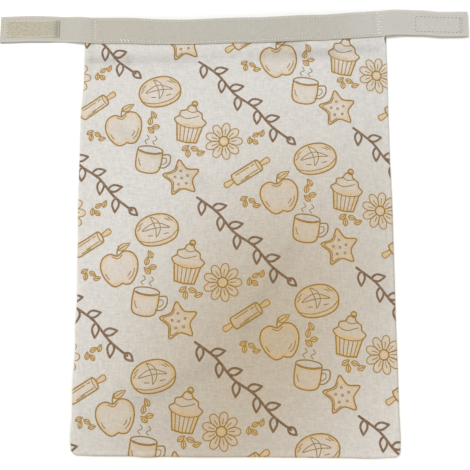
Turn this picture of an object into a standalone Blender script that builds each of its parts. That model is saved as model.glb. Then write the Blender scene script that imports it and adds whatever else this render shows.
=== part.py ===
"""Cloth bread bag, lying empty on its back, with a closure tape sewn along its mouth.

X runs along the mouth, +Y points from the bottom seam to the mouth and +Z is up. The origin is
at the middle of the flat underside. Every length is in metres.
"""
import math
from collections import namedtuple

import bmesh
import bpy

# Bag
BAG_WIDTH = 0.300
BAG_LENGTH = 0.420              # bottom seam to the tape's upper edge
CLOTH_THICKNESS = 0.0010
CORNER_RADIUS = 0.006
LAYER_GAP = 0.0003              # between pieces that are sewn together or lie on each other

# How the empty front panel lies above the back one
LOFT_HEIGHT = 0.0070            # what the slack cloth rises between its seams
SEAM_WIDTH = 0.004              # flat strip along the sides and the bottom
SIDE_RISE = 0.055
BOTTOM_RISE = 0.075
RISE_POWER = 1.3                # over 1 the cloth leaves the seam level
WAVE_FADE = 0.060               # distance below the tape over which the waves come in

# Closure tape: longer than the mouth, so that a free tab stands out at either end
TAPE_WIDTH = 0.026
TAPE_LENGTH = 0.4676
TAPE_SHIFT = -0.0008            # its middle, along the mouth
TAPE_THICKNESS = 0.0012
TAPE_OVERHANG = 0.0025          # the cloth's mouth edge ends this far under the tape's edge
TAB_FALL_START = 0.1525         # from the middle: a tab leaves the height of the bag here
TAB_FALL_END = 0.1740           # and lies level from here on

# Hook-and-loop patches, each so far below the tape's middle line
LOOP_PATCH = dict(length=0.0530, width=0.0180, thickness=0.0014, centre=-0.2029, below=0.0012)
HOOK_PATCH = dict(length=0.0500, width=0.0183, thickness=0.0012, centre=0.2033, below=0.0008)
PATCH_EDGE_RADIUS = 0.0004

# Rows and columns of the sheets
PANEL_COLUMNS = 34
PANEL_ROWS = 46
BACK_COLUMNS = 16
BACK_ROWS = 30
TAPE_COLUMNS = 96
TAPE_ROWS = 3
CROWDING = 0.80                 # 0 spaces rows evenly, near 1 crowds them at both ends

EdgePoint = namedtuple("EdgePoint", "at out")
CurvePoint = namedtuple("CurvePoint", "at value")
Wave = namedtuple("Wave", "height length_x length_y phase")
Dent = namedtuple("Dent", "x0 y0 x1 y1 depth half_width")
Finish = namedtuple("Finish", "colour roughness metallic")

# How far the cloth's edges stand out from a true rectangle
LEFT_EDGE = (
    EdgePoint(at=-0.206, out=-0.0010),
    EdgePoint(at=-0.192, out=0.0000),
    EdgePoint(at=-0.174, out=-0.0006),
    EdgePoint(at=-0.150, out=0.0004),
    EdgePoint(at=-0.112, out=-0.0009),
    EdgePoint(at=-0.093, out=-0.0002),
    EdgePoint(at=-0.070, out=-0.0014),
    EdgePoint(at=-0.015, out=-0.0003),
    EdgePoint(at=0.020, out=0.0011),
    EdgePoint(at=0.060, out=0.0006),
    EdgePoint(at=0.112, out=0.0012),
    EdgePoint(at=0.146, out=-0.0008),
    EdgePoint(at=0.175, out=-0.0001),
)
RIGHT_EDGE = (
    EdgePoint(at=-0.207, out=0.0001),
    EdgePoint(at=-0.194, out=0.0006),
    EdgePoint(at=-0.170, out=0.0002),
    EdgePoint(at=-0.134, out=0.0003),
    EdgePoint(at=-0.090, out=0.0001),
    EdgePoint(at=0.028, out=0.0005),
    EdgePoint(at=0.070, out=-0.0002),
    EdgePoint(at=0.118, out=-0.0001),
    EdgePoint(at=0.165, out=0.0002),
)
BOTTOM_EDGE = (
    EdgePoint(at=-0.145, out=-0.0008),
    EdgePoint(at=-0.130, out=-0.0002),
    EdgePoint(at=-0.098, out=-0.0001),
    EdgePoint(at=-0.084, out=0.0010),
    EdgePoint(at=-0.068, out=0.0004),
    EdgePoint(at=-0.030, out=0.0008),
    EdgePoint(at=0.020, out=0.0007),
    EdgePoint(at=0.060, out=0.0011),
    EdgePoint(at=0.100, out=0.0015),
    EdgePoint(at=0.128, out=0.0021),
    EdgePoint(at=0.146, out=0.0012),
)

# How far the tape, and the mouth under it, wanders from a straight line
TAPE_LINE = (
    CurvePoint(at=-0.235, value=0.0046),
    CurvePoint(at=-0.205, value=0.0055),
    CurvePoint(at=-0.057, value=-0.0034),
    CurvePoint(at=0.010, value=-0.0011),
    CurvePoint(at=0.080, value=0.0017),
    CurvePoint(at=0.168, value=0.0112),
    CurvePoint(at=0.184, value=0.0108),
    CurvePoint(at=0.207, value=0.0091),
    CurvePoint(at=0.233, value=0.0094),
)

# The soft furrow across the front, one hem's width below the tape
FURROW_BELOW_TAPE = 0.0155
FURROW_HALF_WIDTH = 0.0055
FURROW_DEPTH = (
    CurvePoint(at=-0.148, value=0.0004),
    CurvePoint(at=-0.110, value=0.0013),
    CurvePoint(at=-0.060, value=0.0012),
    CurvePoint(at=0.000, value=0.0005),
    CurvePoint(at=0.060, value=0.0013),
    CurvePoint(at=0.110, value=0.0010),
    CurvePoint(at=0.148, value=0.0004),
)

WAVES = (
    Wave(height=0.0005, length_x=0.27, length_y=0.41, phase=0.4),
    Wave(height=0.0004, length_x=-0.18, length_y=0.22, phase=1.9),
    Wave(height=0.0002, length_x=0.11, length_y=0.14, phase=4.0),
)

DENTS = (
    Dent(x0=-0.112, y0=0.094, x1=-0.030, y1=0.040, depth=0.0007, half_width=0.012),
    Dent(x0=0.010, y0=-0.095, x1=0.055, y1=-0.020, depth=0.0006, half_width=0.018),
    Dent(x0=-0.090, y0=-0.165, x1=-0.020, y1=-0.130, depth=0.0006, half_width=0.014),
)

FINISHES = {
    "cotton": Finish(colour=(0.658, 0.597, 0.509), roughness=0.92, metallic=0.0),
    "tape": Finish(colour=(0.539, 0.503, 0.439), roughness=0.88, metallic=0.0),
    "loop": Finish(colour=(0.509, 0.474, 0.376), roughness=0.97, metallic=0.0),
    "hook": Finish(colour=(0.571, 0.533, 0.451), roughness=0.70, metallic=0.0),
}


def rise(share):
    """Climb from 0 to 1 as share goes from 0 to 1, level at the top."""
    share = min(max(share, 0.0), 1.0)
    return math.sin(math.pi / 2 * share) ** RISE_POWER


def blend(share):
    """Smooth step from 0 to 1."""
    share = min(max(share, 0.0), 1.0)
    return share * share * (3 - 2 * share)


def crowd(share):
    """Spread shares from 0 to 1 so that they lie closer together at both ends."""
    return share - CROWDING * math.sin(2 * math.pi * share) / (2 * math.pi)


def read_table(table, at):
    """Value of a two-column table at a place, on a smooth curve through its rows."""
    if at <= table[0][0]:
        return table[0][1]
    for low, high in zip(table, table[1:]):
        if at <= high[0]:
            return low[1] + (high[1] - low[1]) * blend((at - low[0]) / (high[0] - low[0]))
    return table[-1][1]


def tape_centre(x):
    """Y of the tape's middle line."""
    return BAG_LENGTH / 2 - TAPE_WIDTH / 2 + read_table(TAPE_LINE, x)


def mouth_edge(x):
    """Y of the cloth's edge under the tape."""
    return tape_centre(x) + TAPE_WIDTH / 2 - TAPE_OVERHANG


def bottom_edge(x):
    """Y of the bottom seam."""
    return -BAG_LENGTH / 2 - read_table(BOTTOM_EDGE, x)


def side_edges(y):
    """X of the left and the right edge."""
    left = -BAG_WIDTH / 2 - read_table(LEFT_EDGE, y)
    right = BAG_WIDTH / 2 + read_table(RIGHT_EDGE, y)
    return left, right


def corner_inset(above_bottom):
    """How far the rounded bottom corners draw the sides in at a height above the seam."""
    if above_bottom >= CORNER_RADIUS:
        return 0.0
    short = CORNER_RADIUS - max(above_bottom, 0.0)
    return CORNER_RADIUS - math.sqrt(CORNER_RADIUS ** 2 - short ** 2)


def panel_point(across, along):
    """Point of a panel's outline grid. across runs left to right, along bottom to mouth."""
    x = (across - 0.5) * BAG_WIDTH
    y = bottom_edge(x) + (mouth_edge(x) - bottom_edge(x)) * along
    left, right = side_edges(y)
    inset = corner_inset(y - bottom_edge(x))
    x = left + inset + (right - left - 2 * inset) * across
    return x, y


def furrow(x, y):
    """Depth of the soft furrow below the tape."""
    middle = tape_centre(x) - TAPE_WIDTH / 2 - FURROW_BELOW_TAPE
    return read_table(FURROW_DEPTH, x) * math.exp(-((y - middle) / FURROW_HALF_WIDTH) ** 2)


def dents(x, y):
    """Depth of the shallow dents, each a soft trough along a line."""
    total = 0.0
    for dent in DENTS:
        run_x = dent.x1 - dent.x0
        run_y = dent.y1 - dent.y0
        share = ((x - dent.x0) * run_x + (y - dent.y0) * run_y) / (run_x ** 2 + run_y ** 2)
        share = min(max(share, 0.0), 1.0)
        away = math.hypot(x - dent.x0 - share * run_x, y - dent.y0 - share * run_y)
        total += dent.depth * math.exp(-(away / dent.half_width) ** 2)
    return total


def waves(x, y):
    """Height of the broad, uneven waves of the slack cloth."""
    return sum(wave.height * math.sin(2 * math.pi * (x / wave.length_x + y / wave.length_y) + wave.phase)
               for wave in WAVES)


def front_underside(x, y):
    """Height of the front panel's underside: seams at the edges, slack cloth between them."""
    left, right = side_edges(y)
    from_side = min(x - left, right - x)
    swell = rise((from_side - SEAM_WIDTH) / SIDE_RISE)
    swell *= rise((y - bottom_edge(x) - SEAM_WIDTH) / BOTTOM_RISE)
    below_tape = tape_centre(x) - TAPE_WIDTH / 2 - y
    uneven = (waves(x, y) - dents(x, y)) * blend(below_tape / WAVE_FADE)
    return CLOTH_THICKNESS + LAYER_GAP + swell * (LOFT_HEIGHT + uneven - furrow(x, y))


def tape_underside(x):
    """Height of the tape's underside: over the bag, then down to where each tab lies."""
    reach = min(abs(x), TAB_FALL_START)
    over_bag = math.copysign(reach, x)
    on_bag = front_underside(over_bag, tape_centre(over_bag)) + CLOTH_THICKNESS + LAYER_GAP
    lies_at = HOOK_PATCH["thickness"] + LAYER_GAP if x > 0 else 0.0
    fallen = blend((abs(x) - TAB_FALL_START) / (TAB_FALL_END - TAB_FALL_START))
    return on_bag + (lies_at - on_bag) * fallen


def grid_mesh(name, columns, rows, place):
    """Mesh of a grid whose points are moved by place(across, along)."""
    shape = bmesh.new()
    bmesh.ops.create_grid(shape, x_segments=columns, y_segments=rows, size=0.5)
    for point in shape.verts:
        point.co = place(point.co.x + 0.5, point.co.y + 0.5)
    mesh = bpy.data.meshes.new(name)
    shape.to_mesh(mesh)
    shape.free()
    mesh.shade_smooth()
    return mesh


def box_mesh(name, length, width, thickness):
    """Mesh of a box that stands on its origin."""
    shape = bmesh.new()
    bmesh.ops.create_cube(shape, size=1.0)
    bmesh.ops.scale(shape, vec=(length, width, thickness), verts=shape.verts)
    bmesh.ops.translate(shape, vec=(0, 0, thickness / 2), verts=shape.verts)
    mesh = bpy.data.meshes.new(name)
    shape.to_mesh(mesh)
    shape.free()
    return mesh


def make_material(name):
    """Principled material from the table of finishes."""
    finish = FINISHES[name]
    material = bpy.data.materials.new(name)
    material.use_nodes = True
    shader = material.node_tree.nodes["Principled BSDF"]
    shader.inputs["Base Color"].default_value = (*finish.colour, 1.0)
    shader.inputs["Roughness"].default_value = finish.roughness
    shader.inputs["Metallic"].default_value = finish.metallic
    material.diffuse_color = (*finish.colour, 1.0)
    return material


def add_piece(name, mesh, material, collection):
    """Object for one piece, in the bag's collection."""
    piece = bpy.data.objects.new(name, mesh)
    mesh.materials.append(material)
    collection.objects.link(piece)
    return piece


def thicken(piece, thickness):
    """Give a sheet its thickness, upwards from its underside."""
    solidify = piece.modifiers.new("Thickness", "SOLIDIFY")
    solidify.thickness = thickness
    solidify.offset = 1.0
    solidify.use_even_offset = True


def make_back_panel(material, collection):
    """Flat back panel, on which the bag lies."""
    def place(across, along):
        return (*panel_point(across, crowd(along)), 0.0)

    mesh = grid_mesh("back_panel", BACK_COLUMNS, BACK_ROWS, place)
    thicken(add_piece("back_panel", mesh, material, collection), CLOTH_THICKNESS)


def make_front_panel(material, collection):
    """Front panel, joined to the back one round three sides and slack between its seams."""
    def place(across, along):
        x, y = panel_point(crowd(across), crowd(along))
        return x, y, front_underside(x, y)

    mesh = grid_mesh("front_panel", PANEL_COLUMNS, PANEL_ROWS, place)
    thicken(add_piece("front_panel", mesh, material, collection), CLOTH_THICKNESS)


def make_closure_tape(material, collection):
    """Tape along the front of the mouth, with a free tab past either side of the bag."""
    def place(across, along):
        x = (across - 0.5) * TAPE_LENGTH + TAPE_SHIFT
        return x, tape_centre(x) + (along - 0.5) * TAPE_WIDTH, tape_underside(x)

    mesh = grid_mesh("closure_tape", TAPE_COLUMNS, TAPE_ROWS, place)
    thicken(add_piece("closure_tape", mesh, material, collection), TAPE_THICKNESS)


def make_patch(name, sizes, lies_at, material, collection):
    """Hook or loop patch, turned to the tape's run at its place."""
    centre = sizes["centre"]
    half = sizes["length"] / 2
    mesh = box_mesh(name, sizes["length"], sizes["width"], sizes["thickness"])
    patch = add_piece(name, mesh, material, collection)
    patch.location = (centre, tape_centre(centre) - sizes["below"], lies_at)
    patch.rotation_euler.z = math.atan2(tape_centre(centre + half) - tape_centre(centre - half), 2 * half)
    bevel = patch.modifiers.new("Soft edges", "BEVEL")
    bevel.width = PATCH_EDGE_RADIUS
    bevel.segments = 2


def main():
    for existing in list(bpy.data.objects):
        bpy.data.objects.remove(existing, do_unlink=True)
    collection = bpy.data.collections.new("bread_bag")
    bpy.context.scene.collection.children.link(collection)

    cotton = make_material("cotton")
    make_back_panel(cotton, collection)
    make_front_panel(cotton, collection)
    make_closure_tape(make_material("tape"), collection)
    make_patch("loop_patch", LOOP_PATCH, TAPE_THICKNESS + LAYER_GAP, make_material("loop"), collection)
    make_patch("hook_patch", HOOK_PATCH, 0.0, make_material("hook"), collection)


main()
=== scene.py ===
# Flat cotton bread bag with a closure tape along its mouth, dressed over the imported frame.
# Shapes are worked out in millimetres: X runs along the mouth, +Y to the mouth, +Z up, as in the frame.
import bpy
import numpy as np
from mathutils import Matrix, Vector


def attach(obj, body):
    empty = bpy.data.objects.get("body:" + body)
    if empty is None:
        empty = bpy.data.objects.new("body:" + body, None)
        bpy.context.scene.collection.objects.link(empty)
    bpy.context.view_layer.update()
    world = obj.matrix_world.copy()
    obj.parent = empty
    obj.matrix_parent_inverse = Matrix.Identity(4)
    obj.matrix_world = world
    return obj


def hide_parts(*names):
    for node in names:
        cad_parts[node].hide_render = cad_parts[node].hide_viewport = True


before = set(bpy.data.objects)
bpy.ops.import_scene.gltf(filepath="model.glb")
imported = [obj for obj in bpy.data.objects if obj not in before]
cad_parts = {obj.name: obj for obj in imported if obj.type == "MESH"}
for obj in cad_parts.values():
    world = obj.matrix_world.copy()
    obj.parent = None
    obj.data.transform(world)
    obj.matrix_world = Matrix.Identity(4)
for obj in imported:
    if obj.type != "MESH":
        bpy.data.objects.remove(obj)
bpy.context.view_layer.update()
mm = 0.001


# 3t² − 2t³: from 0 to 1, level at both ends
def smooth(t):
    t = np.clip(t, 0, 1)
    return t * t * (3 - 2 * t)


# e^−(distance/half)²: 1 in the middle, level far away
def bell(distance, half):
    return np.exp(-(distance / half) ** 2)


# Value of a two-column table: a smooth step from row to row, level past its ends
def readTable(table, at):
    places, values = np.array(table, float).T
    row = np.clip(np.searchsorted(places, at) - 1, 0, len(places) - 2)
    share = (at - places[row]) / (places[row + 1] - places[row])
    return values[row] + (values[row + 1] - values[row]) * smooth(share)


# Unevenness from rows of height, length and seed: each row is 14 plane waves of about that length, each at
# its own angle and phase, which together go from about −height to height
def uneven(x, y, rows):
    total = 0
    for height, length, seed in rows:
        dice = np.random.default_rng(seed)
        angles, phases = dice.uniform(0, 2 * np.pi, (2, 14))
        lengths = length * dice.uniform(0.7, 1.6, 14)
        total = total + height * sum(np.sin(2 * np.pi * (x * np.cos(a) + y * np.sin(a)) / wave + p)
                                     for a, p, wave in zip(angles, phases, lengths)) / 14 ** 0.5
    return total


# Round edge of a sheet: sqrt(1 − (1 − d/r)²) at a distance d from the rim, 1 from the radius r on
def roundEdge(distance, radius):
    return np.sqrt(1 - (1 - np.clip(distance / radius, 0, 1)) ** 2)


# Places from 0 to length: crowded at both rims, then even steps
def spread(length, step, rim=(0, 0.15, 0.45, 0.9, 1.6)):
    count = round((length - 2 * rim[-1]) / step)
    middle = np.linspace(rim[-1], length - rim[-1], count + 1)
    return np.concatenate([rim[:-1], middle, length - np.array(rim[-2::-1])])


# Values at the four corners of every quad of a grid, anticlockwise seen from above
def quadCorners(grid):
    around = [grid[:-1, :-1], grid[:-1, 1:], grid[1:, 1:], grid[1:, :-1]]
    return np.stack(around, 2).reshape(-1, 4, *grid.shape[2:])


# Object from points in mm, riding the one body, with its material
def addPiece(name, points, faces, material, slot):
    mesh = bpy.data.meshes.new(name)
    mesh.from_pydata(points * mm, [], faces)
    mesh.shade_smooth()
    mesh.materials.append(material)
    piece = bpy.data.objects.new(name, mesh)
    bpy.context.collection.objects.link(piece)
    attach(piece, "root")
    return piece


# Closed sheet from two grids of heights over the same points, which meet along their rim.
# Faces of the upper grid come first. The bake map gives the printed or outer grid the larger part.
def closedSheet(name, x, y, top, under, material, slot, outer="top"):
    rows, columns = x.shape
    upper = np.arange(rows * columns).reshape(rows, columns)
    lower = upper.copy()
    lower[1:-1, 1:-1] = rows * columns + np.arange((rows - 2) * (columns - 2)).reshape(rows - 2, -1)
    points = np.concatenate([np.stack([x, y, top], -1).reshape(-1, 3),
                             np.stack([x, y, under], -1)[1:-1, 1:-1].reshape(-1, 3)])
    faces = np.concatenate([quadCorners(upper), quadCorners(lower)[:, ::-1]])
    piece = addPiece(name, points, faces, material, slot)
    map01 = np.stack([(x - x.min()) / np.ptp(x), (y - y.min()) / np.ptp(y)], -1)
    large, small = map01 * (0.70, 1), map01 * (0.28, 1) + (0.72, 0)
    first, second = (large, small) if outer == "top" else (small, large)
    corners = np.concatenate([quadCorners(first), quadCorners(second)[:, ::-1]])
    piece.data.uv_layers.new(name="OFBake").data.foreach_set("uv", corners.ravel())
    return piece


# One small shape repeated: each copy is scaled, turned about Z, then moved to its place
def repeated(points, faces, places, turns, sizes=1.0):
    c, s = np.cos(turns)[:, None], np.sin(turns)[:, None]
    shaped = points[None] * np.broadcast_to(np.asarray(sizes, float).reshape(-1, 1, 1), (len(places), 1, 1))
    x, y, z = np.moveaxis(shaped, 2, 0)
    turned = np.stack([x * c - y * s, x * s + y * c, z], 2) + places[:, None]
    steps = np.arange(len(places))[:, None, None] * len(points)
    return turned.reshape(-1, 3), (faces[None] + steps).reshape(-1, 4)


# Ring of sides carried along a path in the XZ plane: p(t) + r(t)·(cos a·Y + sin a·N), N across the path.
# Each end is closed with quads, so the number of sides is even.
def threadShape(path, radii, sides):
    path = np.asarray(path, float)
    run = np.gradient(path, axis=0)
    run /= np.linalg.norm(run, axis=1)[:, None]
    angle = np.linspace(0, 2 * np.pi, sides, endpoint=False)
    outX, outZ = -run[:, 1:] * np.sin(angle), run[:, :1] * np.sin(angle)
    radii = np.asarray(radii, float)[:, None]
    rings = np.stack([path[:, :1] + radii * outX, radii * np.cos(angle) * np.ones_like(outX),
                      path[:, 1:] + radii * outZ], 2)
    index = np.arange(len(path) * sides).reshape(len(path), sides)
    wrapped = np.concatenate([index, index[:, :1]], 1)
    last = index[-1]
    caps = [[k, k + 1, sides - 2 - k, sides - 1 - k] for k in range(sides // 2 - 1)]
    closing = np.concatenate([np.array(caps), last[np.array(caps)][:, ::-1]])
    return rings.reshape(-1, 3), np.concatenate([quadCorners(wrapped), closing])


# sRGB hex to linear: c / 12.92 up to 0.04045, else ((c + 0.055) / 1.055)^2.4
def linear(hexColour):
    c = np.array([int(hexColour[k:k + 2], 16) for k in (1, 3, 5)]) / 255
    return (*np.where(c <= 0.04045, c / 12.92, ((c + 0.055) / 1.055) ** 2.4), 1.0)


# Adds a node, sets its settings, and fills its sockets, in order or by name: an output is linked, anything
# else is a value. Gives back one of its outputs.
def addNode(tree, kind, sockets=(), out=0, **settings):
    node = tree.nodes.new("ShaderNode" + kind)
    for key, value in settings.items():
        setattr(node, key, value)
    for key, value in sockets.items() if isinstance(sockets, dict) else enumerate(sockets):
        if isinstance(value, bpy.types.NodeSocket):
            tree.links.new(value, node.inputs[key])
        else:
            node.inputs[key].default_value = value
    return node.outputs[out]


# Material of one colour with a cloth's gloss and sheen
def newMaterial(name, colour, roughness, sheen):
    material = bpy.data.materials.new(name)
    material.use_nodes = True
    material.diffuse_color = linear(colour)
    shader = material.node_tree.nodes["Principled BSDF"]
    for socket, value in {"Base Color": linear(colour), "Roughness": roughness, "IOR": 1.5,
                          "Specular IOR Level": 0.25, "Sheen Weight": sheen, "Sheen Roughness": 0.6}.items():
        shader.inputs[socket].default_value = value
    return material, material.node_tree, shader


# Object coordinates in millimetres
def millimetres(tree, scale=(1000, 1000, 1000)):
    place = addNode(tree, "TexCoord", out="Object")
    return addNode(tree, "Mapping", {"Vector": place, "Scale": scale})


# Plain weave of a pitch p: sin(πx/p)·sin(πy/p), whose squares stand up by turns, on threads that wander.
# A look's "weave" holds these four numbers in mm.
# Slubs are noise drawn out along each thread direction. Returns the weave and the slubs, each about 0 to 1.
def plainWeave(tree, pitch, wander, slubWidth, slubLength):
    place = millimetres(tree)
    loose = addNode(tree, "TexNoise", {"Vector": place, "Scale": 0.22, "Detail": 2.0}, out="Color")
    bent = addNode(tree, "VectorMath", [loose, (wander,) * 3, place], operation="MULTIPLY_ADD")
    axes = addNode(tree, "SeparateXYZ", [bent]).node.outputs
    threads = []
    for axis in (0, 1):
        turn = addNode(tree, "Math", [axes[axis], np.pi / pitch], operation="MULTIPLY")
        threads.append(addNode(tree, "Math", [turn], operation="SINE"))
    squares = addNode(tree, "Math", [threads[0], threads[1]], operation="MULTIPLY")
    weave = addNode(tree, "MapRange", [squares, -1.0, 1.0])
    slubs = []
    for scale in ((1 / slubWidth, 1 / slubLength, 1), (1 / slubLength, 1 / slubWidth, 1)):
        drawn = addNode(tree, "Mapping", {"Vector": place, "Scale": scale})
        slubs.append(addNode(tree, "TexNoise", {"Vector": drawn, "Scale": 1.0, "Detail": 1.0}))
    both = addNode(tree, "Math", [slubs[0], slubs[1]], operation="ADD")
    return weave, addNode(tree, "MapRange", [both, 0.6, 1.4])


# Bump from a sum of heights, each (output, millimetres)
def addBump(tree, shader, heights):
    total = None
    for output, height in heights:
        total = addNode(tree, "Math", [output, height, 0.0 if total is None else total],
                        operation="MULTIPLY_ADD")
    tree.links.new(addNode(tree, "Bump", {"Height": total, "Distance": mm, "Strength": 1.0}),
                   shader.inputs["Normal"])


# Attribute of a closed sheet: the grid's values on its upper side, the same times below on its lower side
def sheetValues(piece, name, grid, below=0.0):
    values = np.concatenate([grid.ravel(), below * grid[1:-1, 1:-1].ravel()])
    piece.data.attributes.new(name, "FLOAT", "POINT").data.foreach_set("value", values)


# colour·(1 − shading): painted shade, darker in troughs and under edges, and painted light where the shading
# is negative
def withPaintedShading(tree, colour):
    tone = addNode(tree, "Attribute", attribute_name="paintedShading", out="Fac")
    kept = addNode(tree, "Math", [1.0, tone], operation="SUBTRACT")
    return addNode(tree, "VectorMath", {0: colour, "Scale": kept}, operation="SCALE")


# The lie of the bag, as its solids have it
cloth = {
    "width": 300, "length": 420, "solid": 1.0, "gap": 0.3, "corner": 6,
    "loft": 7.0, "flatSeam": 4, "sideRise": 55, "bottomRise": 75, "risePower": 1.3, "waveFade": 60,
    # place along the edge, how far the edge stands out there
    "leftEdge": ((-206, 0.4), (-192, 1.1), (-174, 0.3), (-150, 0.9), (-112, -0.5), (-93, 0.2), (-70, -0.6),
                 (-15, 0.5), (20, 1.5), (60, 1.7), (112, 2.0), (146, 0.1), (175, 0.3)),
    "rightEdge": ((-207, 0.1), (-194, 0.6), (-170, 0.2), (-134, 0.3), (-90, 0.1), (28, 0.5), (70, -0.2),
                  (118, -0.1), (165, 0.2)),
    "bottomEdge": ((-145, -0.8), (-130, -0.2), (-98, -0.1), (-84, 1.0), (-68, 0.4), (-30, 0.8), (20, 0.7),
                   (60, 1.1), (100, 1.5), (128, 2.1), (146, 1.2)),
    "furrowBelow": 15.5, "furrowHalf": 5.5,
    "furrowDepth": ((-148, 0.4), (-110, 1.3), (-60, 1.2), (0, 0.5), (60, 1.3), (110, 1.0), (148, 0.4)),
    # height, length along X, length along Y, phase
    "waves": ((0.5, 270, 410, 0.4), (0.4, -180, 220, 1.9), (0.2, 110, 140, 4.0)),
    # from x, y, to x, y, depth, half-width
    "dents": ((-112, 94, -30, 40, 0.7, 12), (10, -95, 55, -20, 0.6, 18), (-90, -165, -20, -130, 0.6, 14)),
}
tape = {
    "width": 26.0, "length": 468.8, "shift": -1.4, "thickness": 1.2, "overhang": 2.5,
    "fallFrom": 152.5, "fallTo": 174.0,
    "rightLiesAt": 1.5,  # on the hook patch
    # x, how far the tape wanders from a straight line there
    "line": ((-235, 4.6), (-205, 5.5), (-57, -3.4), (10, -1.1), (80, 1.7), (168, 11.2), (184, 10.8),
             (207, 9.1), (233, 9.4)),
}


# Middle of the tape at x: half the length − half the width + its wander
def tapeCentre(x):
    return cloth["length"] / 2 - tape["width"] / 2 + readTable(tape["line"], x)


# Mouth of the cloth at x: the tape's upper edge − the overhang
def mouthEdge(x):
    return tapeCentre(x) + tape["width"] / 2 - tape["overhang"]


# Bottom seam at x: −length/2 − how far it stands out
def bottomEdge(x):
    return -cloth["length"] / 2 - readTable(cloth["bottomEdge"], x)


# Left and right seam at y: ±(width/2 + how far each stands out)
def sideEdges(y):
    half = cloth["width"] / 2
    return -half - readTable(cloth["leftEdge"], y), half + readTable(cloth["rightEdge"], y)


# sin(πt/2)^power: the climb of slack cloth from its seam
def rise(share):
    return np.sin(np.pi / 2 * np.clip(share, 0, 1)) ** cloth["risePower"]


# Point of the outline grid: across from left to right, along from the bottom seam to the mouth.
# The corners are drawn in by r − sqrt(r² − (r − h)²) at a height h above the seam.
def bagPoint(across, along):
    x = (across - 0.5) * cloth["width"]
    y = bottomEdge(x) + (mouthEdge(x) - bottomEdge(x)) * along
    left, right = sideEdges(y)
    radius = cloth["corner"]
    short = np.clip(radius - (y - bottomEdge(x)), 0, radius)
    inset = radius - np.sqrt(radius ** 2 - short ** 2)
    return left + inset + (right - left - 2 * inset) * across, y


# Distance from the nearest seam, measured from the arc in the corners
def fromSeam(x, y):
    left, right = sideEdges(y)
    side, base, radius = np.minimum(x - left, right - x), y - bottomEdge(x), cloth["corner"]
    short = np.hypot(np.maximum(radius - side, 0), np.maximum(radius - base, 0))
    return np.maximum(np.where((side < radius) & (base < radius), radius - short, np.minimum(side, base)), 0)


# Sum of soft troughs along straight runs: depth·e^−(distance/half)²
def hollows(x, y, rows):
    total = np.zeros(np.shape(x))
    for x0, y0, x1, y1, depth, half in rows:
        run = np.array([x1 - x0, y1 - y0])
        share = np.clip(((x - x0) * run[0] + (y - y0) * run[1]) / (run @ run), 0, 1)
        away = np.hypot(x - x0 - share * run[0], y - y0 - share * run[1])
        total = total + depth * bell(away, half)
    return total


# Height of the front's underside: seam height + swell·(loft + waves − dents − furrow)
def frontUnderside(x, y):
    left, right = sideEdges(y)
    swell = rise((np.minimum(x - left, right - x) - cloth["flatSeam"]) / cloth["sideRise"])
    swell = swell * rise((y - bottomEdge(x) - cloth["flatSeam"]) / cloth["bottomRise"])
    waves = sum(h * np.sin(2 * np.pi * (x / lx + y / ly) + phase) for h, lx, ly, phase in cloth["waves"])
    waves = waves - hollows(x, y, cloth["dents"])
    below = tapeCentre(x) - tape["width"] / 2 - y
    furrow = readTable(cloth["furrowDepth"], x) * bell(below - cloth["furrowBelow"], cloth["furrowHalf"])
    slack = cloth["loft"] + waves * smooth(below / cloth["waveFade"]) - furrow
    return cloth["solid"] + cloth["gap"] + swell * slack


# Height of the tape's underside: over the bag, then down to where each tab lies
def tapeUnderside(x):
    overBag = np.clip(x, -tape["fallFrom"], tape["fallFrom"])
    onBag = frontUnderside(overBag, tapeCentre(overBag)) + cloth["solid"] + cloth["gap"]
    liesAt = np.where(x > 0, tape["rightLiesAt"], 0)
    fallen = smooth((abs(x) - tape["fallFrom"]) / (tape["fallTo"] - tape["fallFrom"]))
    return onBag + (liesAt - onBag) * fallen


# Printed design: line drawings of kitchen things in bands, with a dark leafy twig in each
design = {
    "turn": -42.0, "bandStep": 50.6, "bandShift": 156.0, "repeat": 402.0,
    "fine": 0.44, "bold": 0.66, "twigLine": 1.2,  # half-widths of the lines
    # motif, place along its band, place across it, turn, size
    "motifs": (("twig", 0, 0, -42, 1.0), ("bun", 90, 1, 14, 1.12), ("cupcake", 132, -2, -10, 1.15),
               ("daisy", 168, 7, 0, 1.15), ("rollingPin", 205, -1, 32, 0.95), ("apple", 243, 3, 12, 1.2),
               ("mug", 282, -3, -8, 1.1), ("starBiscuit", 318, 4, 8, 1.1), ("seeds", 150, -24, 10, 1.1),
               ("seeds", 190, 27, 60, 1.0), ("seeds", 265, 24, 110, 1.1), ("seeds", 224, -24, 0, 1.0)),
}


# Points on an ellipse: (cx + rx·cos a, cy + ry·sin a)
def arc(cx, cy, rx, ry, start=0, end=360, count=26):
    a = np.radians(np.linspace(start, end, count))
    return np.stack([cx + rx * np.cos(a), cy + ry * np.sin(a)], 1)


# Smooth curve through given points: cubic Hermite pieces, each slope half the step between neighbours
def through(points, closed=False, each=4):
    p = np.array(points, float)
    back, on = np.roll(p, 1, 0), np.roll(p, -1, 0)
    if not closed:
        back[0], on[-1] = p[0], p[-1]
    slope = (on - back) / 2
    ends = slice(None) if closed else slice(-1)
    p0, s0 = p[ends, None], slope[ends, None]
    p1, s1 = np.roll(p, -1, 0)[ends, None], np.roll(slope, -1, 0)[ends, None]
    t = np.linspace(0, 1, each, endpoint=False)[None, :, None]
    curve = p0 + (p1 - p0) * smooth(t) + t * (1 - t) ** 2 * s0 - t ** 2 * (1 - t) * s1
    return np.vstack([curve.reshape(-1, 2), p[:1] if closed else p[-1:]])


# Turned by an angle, scaled, then moved
def placed(points, degrees, x=0.0, y=0.0, size=1.0):
    a = np.radians(degrees)
    turn = np.array([[np.cos(a), np.sin(a)], [-np.sin(a), np.cos(a)]])
    return np.asarray(points, float) @ turn * size + (x, y)


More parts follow.
